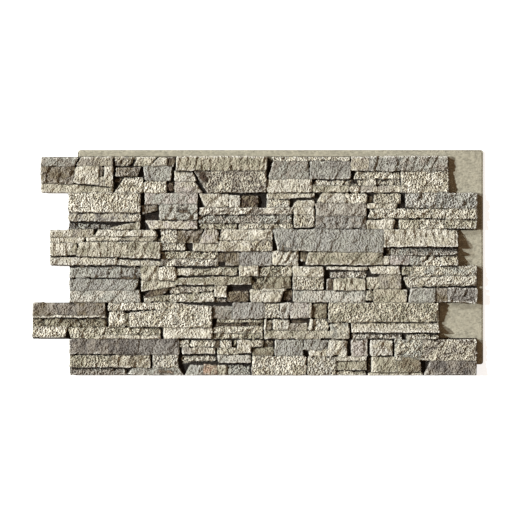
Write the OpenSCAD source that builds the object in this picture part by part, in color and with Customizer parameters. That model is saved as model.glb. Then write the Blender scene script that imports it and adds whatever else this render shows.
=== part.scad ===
// Faux stone wall panel, moulded in one piece of rigid foam.
// A thin mounting plate carries six courses of ledge stones. Odd courses reach out to the
// left as fingers, which lap over the plate of the next panel and fill its short courses.
// The panel lies on its back: X runs along it, Y up the wall, Z out of the wall.

/* [Panel] */
// Length over everything, from the longest finger to the edge of the plate
panel_l = 1219; // [1100:1:1300]
// Height over everything, from the lowest stones to the top of the plate
panel_h = 610; // [560:1:680]
// Depth from the back to the highest that a stone's face can reach
panel_t = 44; // [40:1:56]

/* [Mounting plate] */
// Thickness of the plate where it shows beside the stones
plate_t = 8; // [6:0.5:10]
// Strip of plate left bare along the top, under the next panel's stones
lap_top = 19; // [14:1:26]
// Strip of plate left bare along the right, beside the long courses
lap_right = 19; // [14:1:26]
// Height of the lowest stones that hangs below the plate
rebate_bottom = 29; // [22:1:36]
// Length of the long courses that hangs left of the plate
rebate_left = 21; // [16:1:28]
// Radius of the plate's corners
plate_r = 8; // [4:1:12]

/* [Interlock] */
// Reach of the top course's finger
finger_top = 76; // [60:1:90]
// Reach of the third course's finger
finger_middle = 50; // [40:1:58]
// Reach of the fifth course's finger, which is the longest
finger_low = 100; // [92:1:120]
// Gap that stays between a finger and the end of the short course it meets
finger_gap = 1; // [0.5:0.5:2]
// Gap between the plate and the stones that lap over it
lap_gap = 1; // [0.5:0.5:2]
// Radius of the ends of the courses
course_r = 1.5; // [1:0.5:3]

/* [Stones] */
// Height of the bed of the joints above the back
bed_z = 16; // [14:0.5:20]
// Width of the upright joint between two stones
joint = 2.3; // [1:0.1:4]
// Height of the joint between two stones that lie on one another
bed_joint = 1.6; // [0.8:0.1:3]
// How far a stone's head leans back from its foot
lean = 4; // [0:0.5:8]
// Length of a facet along a stone
facet_l = 70; // [56:1:110]
// Height of a facet across a stone
facet_h = 40; // [34:1:70]

/* [Hidden] */
$fn = 24;

// Finishes of a stone's face, each with these values in millimetres:
// fall of the edge, width of the edge, roughness, step between layers, depth of flutes
SMOOTH = [2, 4, 0.8, 0, 0];
PITTED = [4, 6, 2, 0, 0];
ROUGH = [5, 6, 3.5, 0, 0];
LAYERED = [3, 5, 1.5, 4.5, 0];
FLUTED = [4, 6, 1, 0, 3];
FACETED = [3, 7, 5, 0, 0];
DOMED = [9, 10, 1.5, 0, 0];

// Each stone is [left, right, bottom, top, set back from the front, finish, along, up].
// Places are along the course from its long end, and up from the foot of the course.
// A place left of zero is a share of the finger, so -1 is the finger's end.
// The last two are left out on a square stone. They move its corners along and up, in the
// order low left, low right, high left, high right.
TOP_COURSE = [
    [-1, 22, 73, 96, 9, SMOOTH, [0, -10, 0, 3]],
    [-1, 16, 27, 72, 11, ROUGH, [0, -4, 0, 0], [0, -2, 0, 0]],
    [-1, 118, 1, 29, 9, SMOOTH, [0, 0, 0, 0], [0, 0, 0, -13]],
    [24, 117, 73, 98, 7, PITTED, [-5, 0, 7, 0]],
    [14, 87, 22, 72, 3, PITTED, [-3, 0, 6, 0], [5, 0, 0, 0]],
    [95, 118, 18, 72, 3, PITTED],
    [85, 93, 46, 71, 15, DOMED],
    [124, 168, 73, 98, 8, ROUGH, [0, -4, 0, 4]],
    [179, 228, 73, 98, 9, SMOOTH, [-4, -10, 4, 10]],
    [230, 264, 73, 95, 6, SMOOTH, [-10, 0, 12, 0]],
    [125, 190, 45, 69, 8, PITTED, [0, -6, 0, 3]],
    [150, 198, 1, 41, 6, PITTED, [-28, 0, -2, 0]],
    [199, 272, 33, 72, 7, SMOOTH, [4, -4, 0, 0]],
    [200, 262, 1, 31, 6, PITTED, [0, 0, 4, 0]],
    [263, 281, 5, 29, 13, DOMED],
    [288, 533, 61, 98, 1, FLUTED],
    [288, 336, 32, 60, 9, SMOOTH, [0, 9, 0, -4]],
    [285, 346, 1, 30, 10, SMOOTH, [0, 14, 0, -8]],
    [352, 532, 1, 59, 1, PITTED, [20, 0, -14, 0]],
    [536, 756, 85, 98, 9, ROUGH],
    [550, 645, 38, 84, 8, SMOOTH],
    [645, 759, 38, 85, 5, SMOOTH, [3, 0, 5, 0]],
    [534, 654, 2, 36, 5, SMOOTH],
    [663, 757, 20, 36, 9, ROUGH, [-8, 0, 5, 0]],
    [656, 754, 2, 20, 6, SMOOTH],
    [760, 808, 60, 98, 6, SMOOTH],
    [809, 893, 60, 98, 5, FACETED],
    [894, 1023, 60, 98, 4, FACETED],
    [771, 893, 38, 58, 8, ROUGH, [-4, 0, 4, 0]],
    [757, 792, 21, 36, 12, ROUGH],
    [793, 829, 20, 37, 9, SMOOTH],
    [832, 894, 20, 36, 12, ROUGH],
    [756, 784, 2, 20, 6, DOMED],
    [786, 894, 2, 19, 8, SMOOTH],
    [895, 1023, 1, 58, 3, PITTED]
];
SECOND_COURSE = [
    [0, 192, 46, 98, 2, PITTED],
    [0, 160, 22, 45, 6, SMOOTH],
    [159, 192, 22, 45, 5, PITTED],
    [0, 112, 3, 17, 13, ROUGH],
    [112, 191, 1, 21, 5, SMOOTH, [-2, 0, 3, 0], [0, 0, -14, 0]],
    [204, 346, 68, 98, 6, SMOOTH],
    [196, 239, 46, 66, 10, SMOOTH, [0, 0, 0, 0], [-6, 6, 0, 0]],
    [199, 237, 28, 44, 19, SMOOTH],
    [244, 294, 27, 67, 4, FACETED],
    [292, 328, 28, 64, 7, SMOOTH, [0, -4, 0, 2]],
    [326, 346, 27, 67, 7, SMOOTH],
    [210, 346, 2, 24, 6, SMOOTH, [8, 0, -6, 0]],
    [357, 430, 62, 96, 8, SMOOTH, [9, 0, -7, 0]],
    [433, 461, 60, 93, 5, SMOOTH],
    [459, 510, 58, 92, 11, DOMED],
    [349, 606, 41, 59, 4, LAYERED],
    [349, 600, 18, 38, 9, ROUGH],
    [353, 452, 2, 15, 9, ROUGH],
    [457, 603, 2, 15, 7, ROUGH],
    [533, 662, 83, 98, 7, SMOOTH, [0, 0, 0, 0], [0, 3, 0, 0]],
    [533, 594, 60, 81, 7, PITTED],
    [606, 661, 60, 78, 10, SMOOTH, [-6, 0, 10, 0]],
    [606, 661, 41, 59, 6, SMOOTH],
    [606, 661, 5, 39, 3, PITTED],
    [676, 741, 72, 97, 8, SMOOTH, [-8, 0, 6, 0]],
    [743, 803, 72, 97, 7, PITTED],
    [665, 801, 38, 70, 6, SMOOTH],
    [664, 801, 3, 35, 6, FACETED],
    [822, 894, 71, 97, 8, PITTED],
    [804, 886, 57, 70, 10, SMOOTH, [0, -6, 0, 0]],
    [886, 904, 50, 64, 19, SMOOTH],
    [801, 1013, 31, 56, 3, ROUGH, [4, 0, 12, 0]],
    [804, 876, 2, 27, 8, SMOOTH, [0, 0, 0, 5]],
    [890, 944, 2, 27, 8, PITTED],
    [946, 1013, 2, 28, 6, ROUGH],
    [897, 994, 59, 98, 3, FACETED, [12, 0, 10, 0]],
    [994, 1100, 58, 98, 2, FACETED],
    [1014, 1100, 29, 56, 4, PITTED],
    [1014, 1100, 3, 27, 6, PITTED]
];
THIRD_COURSE = [
    [-1, 11, 79, 98, 6, SMOOTH, [0, -4, 0, 4]],
    [12, 66, 79, 98, 8, SMOOTH, [-5, 0, 6, 0]],
    [-1, 44, 63, 78, 9, SMOOTH, [0, -8, 0, 0]],
    [72, 230, 81, 98, 7, SMOOTH, [-4, 8, 6, 0]],
    [46, 160, 68, 79, 10, SMOOTH],
    [160, 234, 68, 80, 11, SMOOTH],
    [-1, 4, 28, 62, 3, FLUTED, [0, -8, 0, 8]],
    [-0.08, 20, 30, 60, 9, SMOOTH, [-2, 0, 14, 0]],
    [20, 246, 26, 65, 1, FLUTED, [0, 0, 6, 0], [0, -2, 0, 0]],
    [-1, 130, 3, 26, 7, PITTED, [0, 0, 0, 0], [0, 0, 0, -4]],
    [130, 193, 2, 20, 9, PITTED, [0, 0, 0, 0], [0, 0, 0, -3]],
    [194, 247, 1, 18, 9, ROUGH],
    [247, 291, 62, 98, 8, PITTED],
    [290, 356, 62, 96, 11, FACETED, [0, -8, 0, 10]],
    [358, 402, 62, 98, 7, SMOOTH, [-8, 0, 8, 0]],
    [247, 312, 42, 60, 9, PITTED],
    [334, 402, 40, 61, 6, FLUTED],
    [247, 401, 20, 38, 7, ROUGH],
    [247, 402, 1, 19, 8, ROUGH],
    [404, 482, 70, 98, 8, SMOOTH, [0, 0, 6, 0]],
    [484, 548, 70, 98, 7, SMOOTH],
    [403, 491, 40, 67, 5, SMOOTH],
    [493, 548, 41, 69, 6, PITTED],
    [428, 461, 1, 37, 10, SMOOTH, [-4, 0, -12, 0]],
    [461, 546, 1, 38, 7, SMOOTH],
    [560, 847, 42, 98, 3, SMOOTH, [6, 0, 2, 0], [0, -5, -6, 0]],
    [566, 620, 46, 70, 2, FACETED],
    [548, 618, 2, 42, 6, FACETED],
    [624, 650, 12, 38, 13, SMOOTH, [0, -10, 0, 0]],
    [638, 846, 3, 37, 4, SMOOTH, [0, 0, 8, 0]],
    [849, 1048, 52, 98, 2, FLUTED],
    [850, 868, 31, 50, 14, ROUGH],
    [869, 1048, 30, 49, 8, ROUGH],
    [848, 863, 3, 28, 5, SMOOTH],
    [865, 916, 3, 28, 8, SMOOTH],
    [917, 948, 2, 28, 7, DOMED],
    [949, 1001, 2, 29, 6, ROUGH],
    [1002, 1048, 2, 28, 5, PITTED]
];
FOURTH_COURSE = [
    [1, 190, 67, 94, 8, LAYERED],
    [28, 191, 90, 98, 10, ROUGH],
    [0, 184, 34, 63, 6, SMOOTH, [0, -6, 0, 4]],
    [0, 192, 1, 33, 5, SMOOTH, [0, 0, 0, -3]],
    [194, 241, 61, 98, 6, FACETED],
    [242, 284, 60, 96, 4, DOMED],
    [292, 333, 74, 89, 10, SMOOTH],
    [334, 455, 74, 93, 8, LAYERED, [0, 0, 0, 0], [0, 0, -6, 0]],
    [288, 492, 48, 71, 6, SMOOTH, [-4, 0, 0, 0], [0, 0, -5, 0]],
    [194, 287, 45, 59, 7, SMOOTH],
    [198, 270, 24, 46, 13, SMOOTH, [0, 0, 20, 0], [2, 0, -4, 0]],
    [262, 392, 30, 47, 8, LAYERED, [10, 0, 0, 0], [-6, 2, 0, 0]],
    [196, 392, 2, 28, 5, LAYERED, [4, 0, 2, 0], [0, 0, -8, 0]],
    [392, 426, 14, 45, 4, FACETED],
    [426, 484, 1, 31, 14, DOMED],
    [458, 509, 71, 98, 4, SMOOTH],
    [494, 524, 36, 69, 11, ROUGH],
    [488, 521, 2, 34, 10, SMOOTH],
    [510, 600, 71, 97, 7, ROUGH],
    [526, 598, 39, 69, 9, FACETED],
    [520, 574, 2, 29, 5, SMOOTH, [0, -4, 0, 4]],
    [578, 602, 4, 35, 14, DOMED],
    [603, 686, 70, 97, 4, SMOOTH],
    [603, 686, 35, 69, 2, PITTED],
    [694, 806, 88, 96, 8, SMOOTH],
    [699, 801, 67, 88, 9, ROUGH, [8, 0, 2, 0], [0, 0, -8, 0]],
    [694, 715, 33, 65, 8, SMOOTH, [0, 6, 0, -4]],
    [713, 799, 33, 65, 4, FLUTED],
    [604, 799, 1, 32, 6, SMOOTH],
    [814, 893, 77, 97, 6, SMOOTH, [2, 0, -6, 0]],
    [800, 837, 37, 68, 9, SMOOTH, [0, 0, 4, 0]],
    [838, 896, 37, 75, 7, SMOOTH],
    [801, 821, 3, 33, 7, DOMED],
    [822, 911, 1, 35, 6, SMOOTH],
    [898, 926, 76, 96, 14, ROUGH],
    [924, 1100, 72, 98, 5, LAYERED, [-8, 0, 0, 0], [-8, 0, 0, 0]],
    [900, 1100, 41, 72, 3, LAYERED, [10, 0, 0, 0], [0, 4, -4, 0]],
    [916, 988, 1, 38, 3, SMOOTH, [0, 0, 4, 0]],
    [988, 1020, 1, 38, 6, SMOOTH],
    [1020, 1100, 1, 39, 3, FACETED]
];
FIFTH_COURSE = [
    [-1, -0.33, 64, 98, 9, SMOOTH, [0, 4, 0, -4]],
    [-0.33, 16, 64, 98, 10, SMOOTH, [4, 3, -4, -3]],
    [16, 97, 64, 98, 9, SMOOTH, [3, 0, -3, 0]],
    [-1, 98, 57, 62, 5, SMOOTH],
    [-1, 98, 34, 57, 9, LAYERED],
    [-1, -0.09, 4, 33, 6, PITTED, [0, -3, 0, 3]],
    [-0.04, 246, 8, 32, 6, ROUGH, [8, 0, -3, 0]],
    [70, 246, 1, 10, 4, SMOOTH],
    [105, 292, 76, 98, 5, PITTED, [0, 0, 0, 0], [0, 6, 0, 0]],
    [106, 140, 32, 74, 4, SMOOTH],
    [138, 160, 34, 68, 9, DOMED],
    [162, 290, 32, 74, 2, PITTED, [0, 0, 0, 0], [0, 0, 0, 6]],
    [288, 384, 32, 92, 2, PITTED, [0, 0, 0, 0], [0, 0, 4, -4]],
    [254, 384, 2, 31, 5, SMOOTH],
    [386, 441, 55, 88, 9, SMOOTH],
    [441, 524, 55, 97, 7, SMOOTH],
    [397, 522, 45, 53, 9, ROUGH],
    [390, 522, 35, 44, 12, ROUGH],
    [386, 522, 16, 33, 7, ROUGH],
    [386, 522, 1, 15, 8, ROUGH],
    [526, 567, 56, 97, 8, PITTED],
    [569, 596, 56, 97, 6, FACETED, [0, -5, 0, 2]],
    [596, 646, 56, 97, 6, SMOOTH],
    [654, 695, 56, 96, 12, SMOOTH],
    [533, 547, 25, 50, 17, SMOOTH],
    [549, 596, 24, 53, 6, DOMED],
    [586, 643, 24, 42, 10, SMOOTH, [0, 0, 12, 0]],
    [600, 648, 43, 53, 18, SMOOTH],
    [646, 656, 24, 54, 5, SMOOTH, [0, 0, 4, 0]],
    [656, 702, 24, 53, 8, ROUGH, [0, -3, 0, 0]],
    [526, 702, 1, 22, 6, SMOOTH],
    [700, 997, 45, 97, 2, PITTED, [0, 0, 0, 0], [0, 2, 0, 0]],
    [704, 755, 1, 42, 5, SMOOTH],
    [761, 997, 18, 43, 6, SMOOTH, [0, 0, 0, 0], [0, 0, 0, 2]],
    [762, 898, 1, 15, 8, ROUGH],
    [911, 997, 1, 14, 8, ROUGH]
];
BOTTOM_COURSE = [
    [0, 160, 58, 98, 7, SMOOTH],
    [158, 296, 57, 98, 6, SMOOTH],
    [0, 112, 22, 54, 6, PITTED],
    [110, 219, 22, 54, 6, FACETED],
    [225, 294, 22, 55, 6, PITTED],
    [0, 156, 2, 19, 11, ROUGH, [0, 0, 0, -6]],
    [164, 238, 3, 21, 6, SMOOTH, [-4, 0, 10, 0]],
    [238, 298, 3, 21, 7, SMOOTH, [0, 14, 0, 0]],
    [298, 324, 76, 96, 8, ROUGH],
    [328, 392, 78, 95, 8, ROUGH],
    [393, 407, 68, 94, 17, SMOOTH],
    [408, 438, 77, 95, 8, PITTED],
    [438, 454, 68, 94, 16, SMOOTH, [0, 0, 8, 0]],
    [454, 490, 60, 95, 6, SMOOTH],
    [304, 394, 59, 75, 6, SMOOTH],
    [400, 456, 58, 75, 7, PITTED],
    [302, 396, 40, 52, 11, ROUGH],
    [398, 489, 35, 55, 5, SMOOTH, [4, 0, 2, 0]],
    [318, 360, 1, 28, 11, SMOOTH, [-6, 0, 8, 0]],
    [360, 400, 1, 28, 10, FACETED],
    [400, 424, 1, 27, 9, SMOOTH],
    [424, 490, 1, 27, 11, ROUGH],
    [491, 524, 77, 95, 7, DOMED],
    [526, 549, 77, 94, 14, ROUGH],
    [493, 551, 55, 75, 10, SMOOTH],
    [554, 630, 54, 96, 5, SMOOTH],
    [631, 698, 68, 96, 9, FACETED],
    [648, 700, 53, 74, 6, FACETED],
    [702, 748, 53, 95, 6, FACETED, [-8, 0, 0, 0]],
    [761, 802, 52, 97, 5, SMOOTH],
    [493, 639, 1, 52, 2, PITTED],
    [643, 720, 1, 51, 5, PITTED],
    [720, 802, 40, 51, 4, SMOOTH],
    [720, 802, 15, 37, 5, SMOOTH],
    [720, 802, 1, 13, 8, LAYERED],
    [812, 872, 54, 95, 6, FACETED],
    [878, 950, 42, 97, 4, ROUGH],
    [948, 1100, 41, 97, 3, ROUGH],
    [815, 884, 9, 50, 5, SMOOTH],
    [882, 948, 9, 50, 6, SMOOTH],
    [806, 953, 1, 8, 9, SMOOTH],
    [966, 1100, 1, 39, 7, SMOOTH, [-10, 0, 8, 0]]
];
COURSES = [
    TOP_COURSE, SECOND_COURSE, THIRD_COURSE, FOURTH_COURSE, FIFTH_COURSE, BOTTOM_COURSE
];
fingers = [finger_top, 0, finger_middle, 0, finger_low, 0];

// The field is the stones' rectangle without the fingers
field_x = max(fingers);
field_l = panel_l - field_x - lap_right;
field_h = panel_h - lap_top;
course_h = field_h / len(COURSES);
// The stones start this far up, clear of the plate that they lap over
lap_z = plate_t + lap_gap;
// A stone's foot is sunk into the middle of the bed
foot_z = (lap_z + bed_z) / 2;

// Foot of a course, counted from the top one
function course_y(course) = field_h - (course + 1) * course_h;

// Length of a course from its long end to the socket that the next finger fills
function course_l(course) =
    field_l - (fingers[course] > 0 ? fingers[course] + finger_gap : 0);

// Length that a course was drawn to, which is its last stone's right end
function drawn_l(course) = max([for (stone = COURSES[course]) stone[1]]);

// Place along the panel of a drawn place in a course
function place_x(course, x) =
    field_x + (x < 0 ? x * fingers[course] : x * course_l(course) / drawn_l(course));

// Height that a course was drawn to, which is its highest stone's top
function drawn_h(course) = max([for (stone = COURSES[course]) stone[3]]);

// Height on the panel of a drawn height in a course
function place_y(course, y) = course_y(course) + y * course_h / drawn_h(course);

// How far the pulls of a face's four corners move a point, by its shares along and up
function pulled(pulls, u, v) =
    pulls == undef
        ? 0
        : (1 - v) * ((1 - u) * pulls[0] + u * pulls[1]) + v * ((1 - u) * pulls[2] + u * pulls[3]);

// Lines across a stone's face: one at each end, one at each inner edge, and steps between
function face_lines(size, edge, step) =
    let (inset = min(edge, size / 3))
    let (inner = size - 2 * inset)
    let (count = max(1, round(inner / step)))
    concat([0], [for (i = [0 : count]) inset + inner * i / count], [size]);

// Indices of the outer loop of a grid, anticlockwise from above
function grid_rim(nx, ny) = [
    for (i = [0 : nx - 1]) i,
    for (j = [0 : ny - 1]) j * (nx + 1) + nx,
    for (i = [nx : -1 : 1]) ny * (nx + 1) + i,
    for (j = [ny : -1 : 1]) j * (nx + 1)
];

// A stone with a faceted face that leans back, standing on its foot in the bed
module stone(x0, x1, y0, y1, face_z, finish, along, up, seed) {
    fall = finish[0];
    edge = finish[1];
    rough = finish[2];
    layer = finish[3];
    flute = finish[4];
    xs = face_lines(x1 - x0, edge, facet_l);
    ys = face_lines(y1 - y0, edge, facet_h);
    nx = len(xs) - 1;
    ny = len(ys) - 1;
    count = (nx + 1) * (ny + 1);
    drop = rands(0, 1, count, seed);
    shift = rands(-1, 1, count, seed + 1);
    face = [
        for (j = [0 : ny], i = [0 : nx])
            let (k = j * (nx + 1) + i)
            let (outer = i == 0 || i == nx || j == 0 || j == ny)
            let (room = outer ? 0 : min(xs[i] - xs[i - 1], xs[i + 1] - xs[i]))
            let (slide = room == 0 ? 0 : shift[k] * room / 4)
            let (lower = rough * drop[k] + (outer ? fall : 0))
            let (step = layer * (j % 2) + flute * (i % 2))
            let (u = xs[i] / (x1 - x0))
            let (v = ys[j] / (y1 - y0))
            [
                x0 + xs[i] + slide + pulled(along, u, v),
                y0 + ys[j] + pulled(up, u, v),
                face_z - lower - step - lean * v
            ]
    ];
    rim = grid_rim(nx, ny);
    turns = len(rim);
    foot = [for (k = rim) [face[k][0], face[k][1], foot_z]];
    cells = [
        for (j = [0 : ny - 1], i = [0 : nx - 1])
            let (a = j * (nx + 1) + i)
            let (c = a + nx + 1)
            each (i + j) % 2 == 0
                ? [[a, c, c + 1], [a, c + 1, a + 1]]
                : [[a, c, a + 1], [a + 1, c, c + 1]]
    ];
    sides = [
        for (k = [0 : turns - 1])
            let (next = (k + 1) % turns)
            [rim[k], rim[next], count + next, count + k]
    ];
    under = [for (k = [0 : turns - 1]) count + k];
    polyhedron(concat(face, foot), concat(cells, sides, [under]));
}

// Rectangle with rounded corners, from its lowest to its highest corner
module rounded(x0, x1, y0, y1, r) {
    hull()
        for (x = [x0 + r, x1 - r], y = [y0 + r, y1 - r])
            translate([x, y]) circle(r);
}

// Outline of the mounting plate
module plate_outline() {
    rounded(field_x + rebate_left, panel_l, rebate_bottom, panel_h, plate_r);
}

// Outline of the bed that carries the stones, with its fingers and its short courses
module bed_outline() {
    for (course = [0 : len(COURSES) - 1])
        rounded(
            field_x - fingers[course],
            field_x + course_l(course),
            course_y(course),
            course_y(course) + course_h,
            course_r
        );
}

// The mounting plate, and the solid back of the stones that stand over it
module backing() {
    linear_extrude(plate_t) plate_outline();
    linear_extrude(bed_z)
        intersection() {
            plate_outline();
            bed_outline();
        }
}

// The bed at full reach, held clear of the plates it laps over
module bed() {
    translate([0, 0, lap_z]) linear_extrude(bed_z - lap_z) bed_outline();
}

// All the stones of one course
module course_stones(course) {
    stones = COURSES[course];
    for (k = [0 : len(stones) - 1])
        stone(
            place_x(course, stones[k][0]) + joint / 2,
            place_x(course, stones[k][1]) - joint / 2,
            place_y(course, stones[k][2]) + bed_joint / 2,
            place_y(course, stones[k][3]) - bed_joint / 2,
            panel_t - stones[k][4],
            stones[k][5],
            stones[k][6],
            stones[k][7],
            200 * course + 3 * k
        );
}

// The whole moulded panel, with the middle of its back at the origin
module panel() {
    color("#BDB59E")
        translate([-panel_l / 2, -panel_h / 2, 0]) {
            backing();
            bed();
            for (course = [0 : len(COURSES) - 1]) course_stones(course);
        }
}

panel();
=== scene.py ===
"""Looks of a faux stone wall panel, moulded in one piece of rigid foam and painted by hand.

The panel is cut stone by stone, fused with its bed and its mounting plate into one skin,
and painted. It lies on its back on a pale floor, under a camera that looks straight down.
"""
import logging
import math
import random
from dataclasses import dataclass
from enum import Enum
from typing import Callable, Optional

import bmesh
import bpy
import numpy as np
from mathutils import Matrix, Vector
from mathutils.bvhtree import BVHTree


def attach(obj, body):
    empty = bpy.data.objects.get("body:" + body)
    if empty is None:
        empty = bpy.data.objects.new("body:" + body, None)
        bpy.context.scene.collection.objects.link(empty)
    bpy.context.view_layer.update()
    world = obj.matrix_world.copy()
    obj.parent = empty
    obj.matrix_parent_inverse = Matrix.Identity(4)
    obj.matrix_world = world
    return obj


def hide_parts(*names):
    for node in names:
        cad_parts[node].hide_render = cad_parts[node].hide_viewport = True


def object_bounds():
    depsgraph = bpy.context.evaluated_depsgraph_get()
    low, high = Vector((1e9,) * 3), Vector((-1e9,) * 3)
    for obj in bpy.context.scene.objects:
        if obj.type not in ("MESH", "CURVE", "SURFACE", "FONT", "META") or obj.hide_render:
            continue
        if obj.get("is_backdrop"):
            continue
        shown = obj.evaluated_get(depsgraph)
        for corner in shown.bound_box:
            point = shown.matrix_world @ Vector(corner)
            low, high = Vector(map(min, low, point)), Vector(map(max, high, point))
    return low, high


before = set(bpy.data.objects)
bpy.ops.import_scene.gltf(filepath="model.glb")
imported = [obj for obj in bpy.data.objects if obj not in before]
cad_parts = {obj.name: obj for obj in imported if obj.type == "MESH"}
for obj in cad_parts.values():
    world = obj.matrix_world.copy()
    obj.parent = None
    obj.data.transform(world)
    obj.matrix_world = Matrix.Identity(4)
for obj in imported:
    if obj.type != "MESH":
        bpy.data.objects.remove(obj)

LOG = logging.getLogger("panel")
MM = 0.001
CAD_LOW, CAD_HIGH = (Vector(corner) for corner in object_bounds())


class Tone(Enum):
    """Paints that the maker brushes on, by the stone that each one imitates; umber also stands in for shade."""

    CREAM = "#C9C3B2"
    BEIGE = "#B9B29E"
    SAND = "#A8A08B"
    OLIVE = "#918B76"
    TAUPE = "#8C8477"
    BROWN = "#716652"
    # Umber is also laid on deep-set stones that stand where the darkest shade falls, as painted shade.
    UMBER = "#47392D"
    ASH = "#B4AFA1"
    GREY = "#9B998D"
    BLUE = "#97948B"
    VIOLET = "#878279"
    SLATE = "#655F58"
    PINK = "#A9A096"
    RUST = "#9A826E"


class Face(Enum):
    """Ways in which a stone's face is broken."""

    SMOOTH = "smooth"
    PITTED = "pitted"
    ROUGH = "rough"
    LAYERED = "layered"
    FLUTED = "fluted"
    FACETED = "faceted"
    DOMED = "domed"


class Corner(Enum):
    """Corners of a stone, as the side of its middle that each lies on."""

    LOW_LEFT = (-1, -1)
    LOW_RIGHT = (1, -1)
    HIGH_LEFT = (-1, 1)
    HIGH_RIGHT = (1, 1)


@dataclass(frozen=True)
class Relief:
    """Relief of one kind of face, in millimetres.

    A depth is how far the relief cuts in, and a size is how far its features lie apart.
    The grain is drawn out by its stretch, along the course turned by an angle in degrees.
    """

    bevel: float
    swell: float
    swell_size: float
    grain: float
    grain_size: float
    stretch: float
    turn: float
    pits: float
    pit_size: float
    ridges: float
    ridge_gap: float
    grit: float


RELIEFS = {
    Face.SMOOTH: Relief(1.5, 5.0, 40, 2.0, 9, 3.0, 35, 1.5, 9, 2.6, 46, 0.6),
    Face.PITTED: Relief(1.6, 4.0, 30, 3.5, 7, 1.0, 0, 4.0, 8, 0.0, 40, 1.0),
    Face.ROUGH: Relief(2.0, 5.5, 22, 5.0, 10, 1.5, 25, 4.0, 11, 3.0, 24, 1.0),
    Face.LAYERED: Relief(0.8, 3.0, 40, 4.0, 6, 7.0, 8, 2.0, 9, 4.0, 12, 0.85),
    Face.FLUTED: Relief(1.6, 3.0, 50, 3.0, 9, 4.0, 66, 2.0, 10, 3.4, 21, 0.6),
    Face.FACETED: Relief(1.2, 3.0, 40, 2.5, 9, 1.5, 50, 1.5, 10, 4.0, 30, 0.65),
    Face.DOMED: Relief(7.0, 4.0, 26, 3.5, 8, 1.0, 0, 2.0, 8, 0.0, 40, 0.8),
}


@dataclass(frozen=True)
class Pull:
    """Moves one corner of a stone along the course, up the wall and out of it."""

    corner: Corner
    along: float
    up: float
    out: float = 0.0


@dataclass(frozen=True)
class Stone:
    """One stone, from the left end of a long course and the foot of its own course."""

    left: float
    right: float
    foot: float
    head: float
    set_back: float
    face: Face
    tone: Tone
    pulls: tuple[Pull, ...] = ()
    stain: Optional[Tone] = None


def low_left(along: float, up: float = 0.0, out: float = 0.0) -> Pull:
    """Pulls a stone's lower left corner."""
    return Pull(Corner.LOW_LEFT, along, up, out)


def low_right(along: float, up: float = 0.0, out: float = 0.0) -> Pull:
    """Pulls a stone's lower right corner."""
    return Pull(Corner.LOW_RIGHT, along, up, out)


def high_left(along: float, up: float = 0.0, out: float = 0.0) -> Pull:
    """Pulls a stone's upper left corner."""
    return Pull(Corner.HIGH_LEFT, along, up, out)


def high_right(along: float, up: float = 0.0, out: float = 0.0) -> Pull:
    """Pulls a stone's upper right corner."""
    return Pull(Corner.HIGH_RIGHT, along, up, out)


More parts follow.
